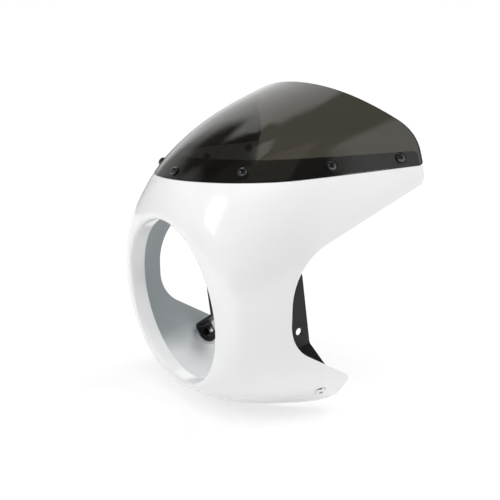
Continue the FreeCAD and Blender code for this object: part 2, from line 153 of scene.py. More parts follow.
# A deep, wet-looking white with soft broad highlights.
@dataclass(frozen=True)
class GlossLacquer(Finish):
    """Sprayed and polished lacquer: a deep gloss with a trace of orange peel."""

    name: str = "gloss_white_lacquer_on_moulded_abs"
    color: str = "F4F4F5"
    tint: str = "F1F1F2"
    cloud_mm: float = 60.0
    peel_mm: float = 4.0
    peel_depth_mm: float = 0.004
    roughness: float = 0.22
    coat: float = 0.8
    coat_roughness: float = 0.1
    ior: float = 1.5

    def shade(self, tree: bpy.types.NodeTree) -> bpy.types.NodeSocket:
        """Build white paint under a clear coat.

        Args:
            tree: Node tree of the material.

        Returns:
            The shader's output.
        """
        place = add_node(tree, "ShaderNodeTexCoord").outputs["Object"]
        cloud = add_node(
            tree,
            "ShaderNodeTexNoise",
            {"Vector": place, "Scale": per_metre(self.cloud_mm), "Detail": 2.0},
        )
        color = add_node(
            tree,
            "ShaderNodeMix",
            {"Factor": cloud.outputs["Fac"], "A": linear(self.color), "B": linear(self.tint)},
            data_type="RGBA",
        )
        peel = add_node(
            tree,
            "ShaderNodeTexNoise",
            {"Vector": place, "Scale": per_metre(self.peel_mm), "Detail": 1.0},
        )
        bump = add_node(
            tree,
            "ShaderNodeBump",
            {"Strength": 1.0, "Distance": self.peel_depth_mm * MM, "Height": peel.outputs["Fac"]},
        )
        shader = add_node(
            tree,
            "ShaderNodeBsdfPrincipled",
            {
                "Base Color": color.outputs["Result"],
                "Roughness": self.roughness,
                "IOR": self.ior,
                "Coat Weight": self.coat,
                "Coat Roughness": self.coat_roughness,
                "Normal": bump.outputs["Normal"],
            },
        )
        return shader.outputs["BSDF"]


@dataclass(frozen=True)
class Grained(Finish):
    """A surface with a fine even grain, such as a powder coat, enamel or nylon."""

    name: str
    color: str
    tint: str
    grain_mm: float
    grain_depth_mm: float
    cloud_mm: float
    roughness: float
    roughness_swing: float = 0.1
    metallic: float = 0.0
    ior: float = 1.5

    def shade(self, tree: bpy.types.NodeTree) -> bpy.types.NodeSocket:
        """Build a mottled colour with a grain in the surface.

        Args:
            tree: Node tree of the material.

        Returns:
            The shader's output.
        """
        place = add_node(tree, "ShaderNodeTexCoord").outputs["Object"]
        cloud = add_node(
            tree,
            "ShaderNodeTexNoise",
            {"Vector": place, "Scale": per_metre(self.cloud_mm), "Detail": 3.0},
        )
        color = add_node(
            tree,
            "ShaderNodeMix",
            {"Factor": cloud.outputs["Fac"], "A": linear(self.color), "B": linear(self.tint)},
            data_type="RGBA",
        )
        roughness = add_node(
            tree,
            "ShaderNodeMapRange",
            {
                "Value": cloud.outputs["Fac"],
                "To Min": self.roughness - self.roughness_swing / 2,
                "To Max": self.roughness + self.roughness_swing / 2,
            },
        )
        grain = add_node(
            tree,
            "ShaderNodeTexNoise",
            {"Vector": place, "Scale": per_metre(self.grain_mm), "Detail": 2.0},
        )
        bump = add_node(
            tree,
            "ShaderNodeBump",
            {"Strength": 1.0, "Distance": self.grain_depth_mm * MM, "Height": grain.outputs["Fac"]},
        )
        shader = add_node(
            tree,
            "ShaderNodeBsdfPrincipled",
            {
                "Base Color": color.outputs["Result"],
                "Roughness": roughness.outputs["Result"],
                "Metallic": self.metallic,
                "IOR": self.ior,
                "Normal": bump.outputs["Normal"],
            },
        )
        return shader.outputs["BSDF"]


# A matt white with painted shade: its walls are coloured greyer than its floor, so the inside reads as deep.
# Its grain is drawn coarser than the real surface's, so that it shows in a close view.
@dataclass(frozen=True)
class ShadedMoulding(Finish):
    """Bare moulding inside the shell: pale on its floor, with painted shade greying its walls."""

    name: str = "bare_white_abs_with_painted_shade"
    floor_color: str = "ECEFF0"
    # The wall colour is the moulding's pale colour darkened with painted shade.
    shaded_wall_color: str = "B0B6BA"
    floor_mm: float = -98.0
    wall_mm: float = -68.0
    grain_mm: float = 1.2
    grain_depth_mm: float = 0.02
    roughness: float = 0.55

    def shade(self, tree: bpy.types.NodeTree) -> bpy.types.NodeSocket:
        """Build a matt moulding whose colour darkens with height, as painted shade.

        Args:
            tree: Node tree of the material.

        Returns:
            The shader's output.
        """
        place = add_node(tree, "ShaderNodeTexCoord").outputs["Object"]
        height = add_node(tree, "ShaderNodeSeparateXYZ", {"Vector": place}).outputs["Z"]
        # Painted shade: the colour greys from the floor up the walls, in place of the shade inside the shell.
        painted_shade = add_node(
            tree,
            "ShaderNodeMapRange",
            {"Value": height, "From Min": self.floor_mm * MM, "From Max": self.wall_mm * MM},
            interpolation_type="SMOOTHSTEP",
        )
        color = add_node(
            tree,
            "ShaderNodeMix",
            {"Factor": painted_shade.outputs["Result"], "A": linear(self.floor_color), "B": linear(self.shaded_wall_color)},
            data_type="RGBA",
        )
        grain = add_node(
            tree,
            "ShaderNodeTexNoise",
            {"Vector": place, "Scale": per_metre(self.grain_mm), "Detail": 2.0},
        )
        bump = add_node(
            tree,
            "ShaderNodeBump",
            {"Strength": 1.0, "Distance": self.grain_depth_mm * MM, "Height": grain.outputs["Fac"]},
        )
        shader = add_node(
            tree,
            "ShaderNodeBsdfPrincipled",
            {
                "Base Color": color.outputs["Result"],
                "Roughness": self.roughness,
                "Normal": bump.outputs["Normal"],
            },
        )
        return shader.outputs["BSDF"]


# A dark glassy sheet with sharp reflections over a dim view of what stands behind it.
@dataclass(frozen=True)
class SmokedAcrylic(Finish):
    """Polished acrylic sheet with a brown-grey dye: clear to look through, and it takes most of the light."""

    name: str = "smoked_acrylic_polished_sheet"
    color: str = "3F3C34"
    sag_mm: float = 45.0
    sag_depth_mm: float = 0.03
    roughness: float = 0.02
    ior: float = 1.49

    def shade(self, tree: bpy.types.NodeTree) -> bpy.types.NodeSocket:
        """Build dyed clear plastic whose surface waves a little, as a bent sheet does.

        Args:
            tree: Node tree of the material.

        Returns:
            The shader's output.
        """
        place = add_node(tree, "ShaderNodeTexCoord").outputs["Object"]
        sag = add_node(
            tree,
            "ShaderNodeTexNoise",
            {"Vector": place, "Scale": per_metre(self.sag_mm), "Detail": 1.0},
        )
        bump = add_node(
            tree,
            "ShaderNodeBump",
            {"Strength": 1.0, "Distance": self.sag_depth_mm * MM, "Height": sag.outputs["Fac"]},
        )
        shader = add_node(
            tree,
            "ShaderNodeBsdfPrincipled",
            {
                "Base Color": linear(self.color),
                "Roughness": self.roughness,
                "IOR": self.ior,
                "Transmission Weight": 1.0,
                "Normal": bump.outputs["Normal"],
            },
        )
        return shader.outputs["BSDF"]


# The grains of the powder coat, the nylon and the zinc are finer in life. They are drawn coarser, so
# that they show in a close view.

# Soft sheen with a fine pebble, so the straps read as coated steel.
POWDER_COAT = Grained(
    "satin_black_powder_coat_on_steel", "141415", "101011", 0.9, 0.03, 14.0, 0.4, ior=1.42
)
# Small sharp glints on a deep black, which pick the screw heads out of the dark flange.
BLACK_ENAMEL = Grained(
    "gloss_black_enamel_on_steel", "060606", "0A0A0A", 2.0, 0.001, 4.0, 0.07, roughness_swing=0.04, ior=1.9
)
# A dull black ring, which sets the glossy head off from the polished screen.
BLACK_NYLON = Grained("black_nylon_moulded", "0C0C0C", "101010", 0.6, 0.01, 5.0, 0.4)
# Pale metal that mirrors the room softly, so the bolt head barely shows on the white tab.
BRIGHT_ZINC = Grained(
    "bright_zinc_plate_on_steel", "E8E8E9", "DEDEDF", 0.7, 0.002, 3.0, 0.2, roughness_swing=0.06, metallic=1.0
)
# A near-black line that draws the top and rear edge of the screen.
SAWN_EDGE = Grained("smoked_acrylic_sawn_edge", "0B0B0A", "12120F", 0.5, 0.01, 5.0, 0.35)


def lathe(profile: Profile, segments: int) -> bmesh.types.BMesh:
    """Turn a profile of (radius, height) points in millimetres about the Z axis.

    Args:
        profile: Points from bottom to top; a radius of zero closes the form.
        segments: Steps round the axis.

    Returns:
        The turned mesh, in metres.
    """
    mesh = bmesh.new()
    rings = []
    for radius, height in profile:
        if radius == 0:
            rings.append([mesh.verts.new((0, 0, height * MM))])
            continue
        ring = []
        for step in range(segments):
            angle = 2 * math.pi * step / segments
            ring.append(
                mesh.verts.new((radius * MM * math.cos(angle), radius * MM * math.sin(angle), height * MM))
            )
        rings.append(ring)
    for lower, upper in zip(rings, rings[1:]):
        for step in range(segments):
            ahead = (step + 1) % segments
            corners = [lower[step % len(lower)], lower[ahead % len(lower)]]
            corners += [upper[ahead % len(upper)], upper[step % len(upper)]]
            mesh.faces.new(list(dict.fromkeys(corners)))
    bmesh.ops.recalc_face_normals(mesh, faces=mesh.faces)
    return mesh


def prism(outline: Sequence[Point], bottom: float, top: float, taper: float) -> bmesh.types.BMesh:
    """Raise a flat outline into a solid.

    Args:
        outline: Corners in millimetres, in order.
        bottom: Lower height in millimetres.
        top: Upper height in millimetres.
        taper: Size of the bottom as a share of the top.

    Returns:
        The solid, in metres.
    """
    mesh = bmesh.new()
    low = [mesh.verts.new((x * taper * MM, y * taper * MM, bottom * MM)) for x, y in outline]
    high = [mesh.verts.new((x * MM, y * MM, top * MM)) for x, y in outline]
    mesh.faces.new(list(reversed(low)))
    mesh.faces.new(high)
    for index in range(len(outline)):
        ahead = (index + 1) % len(outline)
        mesh.faces.new((low[index], low[ahead], high[ahead], high[index]))
    bmesh.ops.recalc_face_normals(mesh, faces=mesh.faces)
    return mesh


def hexagon(corner: float) -> list[Point]:
    """Find the corners of a hexagon.

    Args:
        corner: Corner radius in millimetres.

    Returns:
        Its corners, in order.
    """
    return [
        (corner * math.cos(math.radians(turn)), corner * math.sin(math.radians(turn)))
        for turn in range(0, 360, 60)
    ]


def arc(centre: Point, radius: float, start: float, end: float, steps: int) -> list[Point]:
    """Find the points of an arc in a profile.

    Args:
        centre: Its centre, in millimetres.
        radius: Its radius, in millimetres.
        start: Angle of its first point, in degrees from the radius axis.
        end: Angle of its last point.
        steps: Chords that stand for it.

    Returns:
        The points, in order.
    """
    points = []
    for step in range(steps + 1):
        angle = math.radians(start + (end - start) * step / steps)
        points.append((centre[0] + radius * math.cos(angle), centre[1] + radius * math.sin(angle)))
    return points


def to_mesh(source: bmesh.types.BMesh, name: str) -> bpy.types.Mesh:
    """Store a bmesh as a Blender mesh and free it.

    Args:
        source: Mesh to store.
        name: Name of the stored mesh.

    Returns:
        The stored mesh.
    """
    mesh = bpy.data.meshes.new(name)
    source.to_mesh(mesh)
    source.free()
    return mesh


class Carving(Enum):
    """How a tool solid changes a body."""

    LESS = "DIFFERENCE"
    WITHIN = "INTERSECT"


def carve(body: bpy.types.Mesh, tool: bpy.types.Mesh, how: Carving) -> bpy.types.Mesh:
    """Change a body with a tool solid.

    Args:
        body: Closed mesh to change.
        tool: Closed mesh to change it with.
        how: Take the tool away, or keep what both share.

    Returns:
        The new mesh.
    """
    holder = bpy.data.objects.new("carved_body", body)
    cutter = bpy.data.objects.new("carving_tool", tool)
    for item in (holder, cutter):
        bpy.context.scene.collection.objects.link(item)
    step = holder.modifiers.new("carve", "BOOLEAN")
    step.operation = how.value
    step.solver = "EXACT"
    step.object = cutter
    bpy.context.view_layer.update()
    carved = bpy.data.meshes.new_from_object(holder.evaluated_get(bpy.context.evaluated_depsgraph_get()))
    for item in (holder, cutter):
        bpy.data.objects.remove(item)
    return carved


def smooth(mesh: bpy.types.Mesh) -> None:
    """Shade a mesh smooth, with its sharper edges kept.

    Args:
        mesh: Mesh to shade.
    """
    for face in mesh.polygons:
        face.use_smooth = True
    mesh.set_sharp_from_angle(angle=math.radians(SHARP_DEGREES))


def islands(mesh: bmesh.types.BMesh) -> list[list[bmesh.types.BMFace]]:
    """Sort the faces of a mesh into its separate pieces.

    Args:
        mesh: Mesh of one or more pieces.

    Returns:
        The faces of each piece.
    """
    left = set(mesh.faces)
    pieces = []
    for seed in mesh.faces:
        if seed not in left:
            continue
        left.remove(seed)
        piece = []
        front = [seed]
        while front:
            face = front.pop()
            piece.append(face)
            for edge in face.edges:
                beside = [other for other in edge.link_faces if other in left]
                left.difference_update(beside)
                front += beside
        pieces.append(piece)
    return pieces


def pin_place(faces: Sequence[bmesh.types.BMFace]) -> Matrix:
    """Find the frame of one headed pin.

    Args:
        faces: Faces of a pin with a flat-bottomed head.

    Returns:
        Its frame: origin under its head, +Z out of its head.
    """
    areas: dict[tuple[float, ...], float] = {}
    for face in faces:
        key = tuple(round(share, NORMAL_DIGITS) for share in face.normal)
        areas[key] = areas.get(key, 0) + face.calc_area()
    axis = -Vector(max(areas, key=areas.get)).normalized()
    flat = [face for face in faces if face.normal.dot(axis) < -SQUARE_SHARE]
    area = sum(face.calc_area() for face in flat)
    centre = sum((face.calc_center_median() * face.calc_area() for face in flat), Vector()) / area
    under = max(vert.co.dot(axis) for face in flat for vert in face.verts)
    place = Vector((0, 0, 1)).rotation_difference(axis).to_matrix().to_4x4()
    place.translation = centre + axis * (under - centre.dot(axis))
    return place


def pin_places(node: str) -> list[Matrix]:
    """Find each headed pin in a CAD node.

    Args:
        node: CAD node made of separate pins.

    Returns:
        The frame of each pin.
    """
    mesh = bmesh.new()
    mesh.from_mesh(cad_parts[node].data)
    bmesh.ops.remove_doubles(mesh, verts=mesh.verts, dist=MERGE_MM * MM)
    places = [pin_place(piece) for piece in islands(mesh)]
    mesh.free()
    return places


@dataclass
class Thread:
    """A cut thread on the end of a pin. Sizes in millimetres."""

    radius: float
    pitch: float
    depth_share: float = 0.61
    segments: int = 40
    steps_per_turn: int = 6

    def mesh(self, bottom: float, top: float) -> bmesh.types.BMesh:
        """Build a closed threaded rod.

        Args:
            bottom: Height of its end, in millimetres.
            top: Height of its root.

        Returns:
            The rod, in metres.
        """
        rows = math.ceil((top - bottom) / self.pitch * self.steps_per_turn) + 1
        depth = self.depth_share * self.pitch
        rod = bmesh.new()
        rings = []
        for row in range(rows + 1):
            height = bottom + (top - bottom) * row / rows
            ring = []
            for step in range(self.segments):
                turn = step / self.segments
                phase = (height / self.pitch - turn) % 1
                radius = self.radius - depth * abs(2 * phase - 1)
                if row == 0:
                    radius = self.radius - depth
                angle = 2 * math.pi * turn
                ring.append(
                    rod.verts.new((radius * MM * math.cos(angle), radius * MM * math.sin(angle), height * MM))
                )
            rings.append(ring)
        for lower, upper in zip(rings, rings[1:]):
            for step in range(self.segments):
                ahead = (step + 1) % self.segments
                rod.faces.new((lower[step], lower[ahead], upper[ahead], upper[step]))
        rod.faces.new(list(reversed(rings[0])))
        rod.faces.new(rings[-1])
        bmesh.ops.recalc_face_normals(rod, faces=rod.faces)
        return rod


def chamfered_nut(corner: float, flat: float, height: float, hole: float) -> bpy.types.Mesh:
    """Build a hexagon nut whose corners are turned off at both ends.

    Args:
        corner: Corner radius in millimetres.
        flat: Radius of the round flat at each end.
        height: Height upwards from zero.
        hole: Radius of the hole.

    Returns:
        The nut, in metres.
    """
    rise = (corner - flat) * math.tan(math.radians(CHAMFER_DEGREES))
    blank = to_mesh(prism(hexagon(corner), 0, height, 1), "nut_blank")
    turned = [(0, 0), (flat, 0), (corner, rise), (corner, height - rise), (flat, height), (0, height)]
    nut = carve(blank, to_mesh(lathe(turned, ROUND_SEGMENTS), "nut_turning"), Carving.WITHIN)
    mouth = hole + COUNTERSINK_MM + OVERSHOOT_MM
    bore = [
        (0, -OVERSHOOT_MM),
        (mouth, -OVERSHOOT_MM),
        (hole, COUNTERSINK_MM),
        (hole, height - COUNTERSINK_MM),
        (mouth, height + OVERSHOOT_MM),
        (0, height + OVERSHOOT_MM),
    ]
    return carve(nut, to_mesh(lathe(bore, HOLE_SEGMENTS), "nut_bore"), Carving.LESS)


def turned_washer(radius: float, hole: float, height: float) -> bpy.types.Mesh:
    """Build a flat washer with rounded edges.

    Args:
        radius: Outer radius in millimetres.
        hole: Radius of the hole.
        height: Height upwards from zero.

    Returns:
        The washer, in metres.
    """
    edge = WASHER_EDGE_MM
    ring = [(hole, edge), (hole + edge, 0), (radius - edge, 0), (radius, edge)]
    ring += [(radius, height - edge), (radius - edge, height), (hole + edge, height), (hole, height - edge)]
    return to_mesh(lathe(ring + ring[:1], ROUND_SEGMENTS), "turned_washer")


@dataclass
class FastenerStack:
    """Shared work of the pins, washers and nuts that stand on one node's axes. Sizes in millimetres."""

    places: list[Matrix]
    head_radius: float
    head_height: float
    head_segments: int
    dome_steps: int
    shank_radius: float
    pitch: float
    length: float
    washer_under: float
    washer_radius: float
    washer_hole: float
    washer_height: float
    nut_under: float
    nut_corner: float
    nut_flat: float
    nut_height: float

    def pin(self, dome: list[Point], recess: bmesh.types.BMesh) -> bpy.types.Mesh:
        """Build one pin with a threaded shank, head up from zero.

        Args:
            dome: Profile of its head, from the rim inwards.
            recess: Solid of the driver's recess.

        Returns:
            The pin, in metres.
        """
        foot = [(0, -HEAD_SINK_MM), (self.head_radius - HEAD_EDGE_MM, -HEAD_SINK_MM)]
        profile = foot + [(self.head_radius, HEAD_EDGE_MM)] + dome + [(0, self.head_height)]
        head = to_mesh(lathe(profile, self.head_segments), "turned_head")
        pin = bmesh.new()
        pin.from_mesh(carve(head, to_mesh(recess, "driver_recess"), Carving.LESS))
        pin.from_mesh(to_mesh(Thread(self.shank_radius, self.pitch).mesh(-self.length, 0), "threaded_shank"))
        return to_mesh(pin, "headed_pin")

    def washer(self) -> bpy.types.Mesh:
        """Build one washer in the frame of its pin.

        Returns:
            The washer, in metres.
        """
        ring = turned_washer(self.washer_radius, self.washer_hole, self.washer_height)
        ring.transform(Matrix.Translation((0, 0, self.washer_under * MM)))
        return ring

    def nut(self) -> bpy.types.Mesh:
        """Build one nut in the frame of its pin.

        Returns:
            The nut, in metres.
        """
        hole = self.shank_radius + THREAD_ROOM_MM
        nut = chamfered_nut(self.nut_corner, self.nut_flat, self.nut_height, hole)
        nut.transform(Matrix.Translation((0, 0, self.nut_under * MM)))
        return nut

    def stand(
        self, name: str, pattern: bpy.types.Mesh, material: bpy.types.Material, node: str, slot: str
    ) -> None:
        """Put a copy of a pattern at each place, as one piece that stands for a CAD node.

        Args:
            name: Name of the piece.
            pattern: Mesh in the frame of one fastener.
            material: Its finish.
            node: CAD node that the piece replaces.
            slot: Material slot; not used.
        """
        whole = bmesh.new()
        for place in self.places:
            copy = pattern.copy()
            copy.transform(place)
            whole.from_mesh(copy)
            bpy.data.meshes.remove(copy)
        mesh = to_mesh(whole, name)
        mesh.materials.clear()
        mesh.materials.append(material)
        for face in mesh.polygons:
            face.material_index = 0
        smooth(mesh)
        piece = bpy.data.objects.new(name, mesh)
        bpy.context.scene.collection.objects.link(piece)
        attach(piece, ROOT)
        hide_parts(node)
        LOG.info("piece %s: %d faces", name, len(mesh.polygons))


@dataclass
class ScreenScrews(FastenerStack):
    """Cross-recess screws that hold the screen, with nylon washers and nuts. Sizes in millimetres."""

    head_radius: float = 5.0
    head_height: float = 3.4
    head_segments: int = 48
    head_side: float = 0.6
    dome_steps: int = 14
    dome_degrees: float = 86.0
    recess_reach: float = 2.2
    recess_wing: float = 0.5
    recess_depth: float = 2.0
    recess_taper: float = 0.35
    recess_over: float = 0.3
    shank_radius: float = 2.5
    pitch: float = 0.8
    length: float = 12.2
    washer_under: float = -1.0
    washer_radius: float = 6.2
    washer_hole: float = 3.0
    washer_height: float = 1.0
    nut_under: float = -10.7
    nut_corner: float = 4.62
    nut_flat: float = 3.8
    nut_height: float = 4.0

    def screw(self) -> bpy.types.Mesh:
        """Build one screw, head up from zero.

        Returns:
            The screw, in metres.
        """
        rise = (self.head_height - self.head_side) / self.head_radius
        quarter = arc((0, 0), self.head_radius, 0, self.dome_degrees, self.dome_steps)
        dome = [(x, self.head_side + y * rise) for x, y in quarter]
        reach, wing = self.recess_reach, self.recess_wing
        arm = [(reach, -wing), (reach, wing), (wing, wing)]
        cross = []
        for _ in range(4):
            cross += arm
            arm = [(-y, x) for x, y in arm]
        bottom, top = self.head_height - self.recess_depth, self.head_height + self.recess_over
        return self.pin(dome, prism(cross, bottom, top, self.recess_taper))

    def build(self, enamel: bpy.types.Material, nylon: bpy.types.Material) -> None:
        """Make the screws, washers and nuts.

        Args:
            enamel: Finish of the screws and nuts.
            nylon: Finish of the washers.
        """
        self.stand("cross_recess_screws", self.screw(), enamel, "screen_screws", "black_screws")
        self.stand("nylon_washers", self.washer(), nylon, "screen_washers", "black_nylon")
        self.stand("screw_nuts", self.nut(), enamel, "screen_nuts", "black_screws")


@dataclass
class BracketBolts(FastenerStack):
    """Button-head bolts of the brackets, with washers and nuts inside the tabs. Sizes in millimetres."""

    head_radius: float = 6.2
    head_height: float = 3.2
    head_segments: int = 56
    head_round: float = 2.6
    dome_steps: int = 10
    socket_corner: float = 2.3
    socket_depth: float = 2.0
    shank_radius: float = 3.0
    pitch: float = 1.0
    length: float = 17.3
    washer_under: float = -9.3
    washer_radius: float = 7.0
    washer_hole: float = 3.3
    washer_height: float = 1.2
    nut_under: float = -14.3
    nut_corner: float = 5.77
    nut_flat: float = 4.8
    nut_height: float = 5.0

    def bolt(self) -> bpy.types.Mesh:
        """Build one bolt, head up from zero.

        Returns:
            The bolt, in metres.
        """
        edge = self.head_radius - self.head_round
        dome = arc((edge, self.head_height - self.head_round), self.head_round, 0, 90, self.dome_steps)
        bottom, top = self.head_height - self.socket_depth, self.head_height + OVERSHOOT_MM
        return self.pin(dome, prism(hexagon(self.socket_corner), bottom, top, 1))

    def build(self, zinc: bpy.types.Material, enamel: bpy.types.Material) -> None:
        """Make the bolts, washers and nuts.

        Args:
            zinc: Finish of the bolts.
            enamel: Finish of the washers and nuts.
        """
        self.stand("button_head_bolts", self.bolt(), zinc, "bracket_bolts", "bright_steel")
        self.stand("plain_washers", self.washer(), enamel, "bracket_washers", "black_screws")
        self.stand("bolt_nuts", self.nut(), enamel, "bracket_nuts", "black_screws")


@dataclass
class TwoFinishes:
    """Shared work of the CAD nodes that wear two finishes, told apart face by face."""

    node: str

    def wears_second(self, face: bpy.types.MeshPolygon) -> bool:
        """Tell whether a face wears the second finish; each node has its own test."""
        raise NotImplementedError

    def dress(self, first: bpy.types.Material, second: bpy.types.Material) -> None:
        """Give each face of the node its finish.

        Args:
            first: Finish of most faces.
            second: Finish of the faces that the node's test picks.
        """
        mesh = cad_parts[self.node].data
        mesh.materials.clear()
        mesh.materials.append(first)
        mesh.materials.append(second)
        count = 0
        for face in mesh.polygons:
            face.material_index = int(self.wears_second(face))
            count += face.material_index
        LOG.info("piece %s: %d faces, %d of them %s", self.node, len(mesh.polygons), count, second.name)


@dataclass
class Shell(TwoFinishes):
    """The moulded shell: lacquer outside, round the lip and on its cut rim, bare moulding inside."""

    node: str = "fairing_shell"
    bore_radius: float = 93.5
    bore_margin: float = 3.0
    rake_degrees: float = 6.4
    rim_flatness: float = 0.02
    rim_reach: float = 60.0
    inside_inward: float = -0.1
    lip_forward: float = -0.2

    def rim(self, face: bpy.types.MeshPolygon) -> bool:
        """Tell whether a face belongs to the rim, which is cut square to the fairing's width."""
        return abs(face.normal.x) < self.rim_flatness and abs(face.center.x) > self.rim_reach * MM

    def wears_second(self, face: bpy.types.MeshPolygon) -> bool:
        """Tell whether a face belongs to the unpainted inside.

        Args:
            face: Face of the shell.

        Returns:
            True behind the lip, off the rim, where the face looks inwards.
        """
        if self.rim(face):
            return False
        rake = math.radians(self.rake_degrees)
        back = Vector((0, math.cos(rake), math.sin(rake)))
        centre = Vector(face.center)
        out = centre - back * centre.dot(back)
        if face.normal.dot(out.normalized()) > self.inside_inward or face.normal.dot(back) < self.lip_forward:
            return False
        return out.length > (self.bore_radius + self.bore_margin) * MM


@dataclass
class Screen(TwoFinishes):
    """The smoked screen: polished faces, and a darker sawn edge along its top and rear."""

    node: str = "windscreen"
    flatness: float = 0.05
    rear_share: float = 0.25
    lowest_share: float = -0.2

    def wears_second(self, face: bpy.types.MeshPolygon) -> bool:
        """Tell whether a face belongs to the cut along the top and rear."""
        across, back, up = face.normal
        return abs(across) < self.flatness and back > self.rear_share and up > self.lowest_share


@dataclass
class Bracket:
    """A bent steel strap that wears one finish."""

    node: str

    def dress(self, material: bpy.types.Material) -> None:
        """Give the whole strap its finish.

        Args:
            material: Finish of the strap.
        """
        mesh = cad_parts[self.node].data
        mesh.materials.clear()
        mesh.materials.append(material)
        LOG.info("piece %s: %d faces", self.node, len(mesh.polygons))


class Ray(Enum):
    """Kinds of ray that see the white background."""

    CAMERA = "Is Camera Ray"
    GLOSSY = "Is Glossy Ray"
    TRANSMISSION = "Is Transmission Ray"


def seen_by(tree: bpy.types.NodeTree, rays: Sequence[Ray]) -> bpy.types.NodeSocket:
    """Build a switch that is one for some kinds of ray.

    Args:
        tree: Node tree that gets the switch.
        rays: Kinds of ray that count.

    Returns:
        The switch's output.
    """
    path = add_node(tree, "ShaderNodeLightPath")
    switch = path.outputs[rays[0].value]
    for ray in rays[1:]:
        other = path.outputs[ray.value]
        either = add_node(tree, "ShaderNodeMath", {0: switch, 1: other}, operation="MAXIMUM")
        switch = either.outputs["Value"]
    return switch


@dataclass(frozen=True)
class Softbox:
    """A rectangular lamp that looks at the middle of the fairing. Lengths in metres, angles in degrees."""

    name: str
    azimuth: float
    elevation: float
    distance: float
    width: float
    height: float
    power: float
    mirrored: bool = False


@dataclass(frozen=True)
class Card:
    """A soft-edged card that only reflections see. Angles in degrees."""

    azimuth: float
    half_width: float
    bottom: float
    top: float
    soft: float
    light: float

    def band(
        self, tree: bpy.types.NodeTree, angle: bpy.types.NodeSocket, middle: float, half: float
    ) -> bpy.types.NodeSocket:
        """Build a mask that is one near an angle and fades on both sides of it.

        Args:
            tree: Node tree of the world.
            angle: Angle that is looked at, in radians.
            middle: Angle at the middle of the band.
            half: Half of the band's width.

        Returns:
            The mask's output.
        """
        off = add_node(tree, "ShaderNodeMath", {0: angle, 1: math.radians(middle)}, operation="SUBTRACT")
        away = add_node(tree, "ShaderNodeMath", {0: off.outputs["Value"]}, operation="ABSOLUTE")
        fade = add_node(
            tree,
            "ShaderNodeMapRange",
            {
                "Value": away.outputs["Value"],
                "From Min": math.radians(half - self.soft),
                "From Max": math.radians(half + self.soft),
                "To Min": 1.0,
                "To Max": 0.0,
            },
            interpolation_type="SMOOTHSTEP",
        )
        return fade.outputs["Result"]

    def cover(self, tree: bpy.types.NodeTree, way: bpy.types.NodeSocket) -> bpy.types.NodeSocket:
        """Build a mask of the directions that the card fills.

        Args:
            tree: Node tree of the world.
            way: Direction that is looked at.

        Returns:
            The mask's output, one on the card and zero off it.
        """
        turn = math.radians(self.azimuth)
        facing = (math.sin(turn), -math.cos(turn), 0)
        beside = (math.cos(turn), math.sin(turn), 0)
        ahead = add_node(tree, "ShaderNodeVectorMath", {0: way, 1: facing}, operation="DOT_PRODUCT")
        aside = add_node(tree, "ShaderNodeVectorMath", {0: way, 1: beside}, operation="DOT_PRODUCT")
        heading = add_node(
            tree,
            "ShaderNodeMath",
            {0: aside.outputs["Value"], 1: ahead.outputs["Value"]},
            operation="ARCTAN2",
        )
        height = add_node(tree, "ShaderNodeSeparateXYZ", {"Vector": way}).outputs["Z"]
        climb = add_node(tree, "ShaderNodeMath", {0: height}, operation="ARCSINE")
        across = self.band(tree, heading.outputs["Value"], 0, self.half_width)
        middle, half = (self.bottom + self.top) / 2, (self.top - self.bottom) / 2
        along = self.band(tree, climb.outputs["Value"], middle, half)
        both = add_node(tree, "ShaderNodeMath", {0: across, 1: along}, operation="MULTIPLY")
        return both.outputs["Value"]


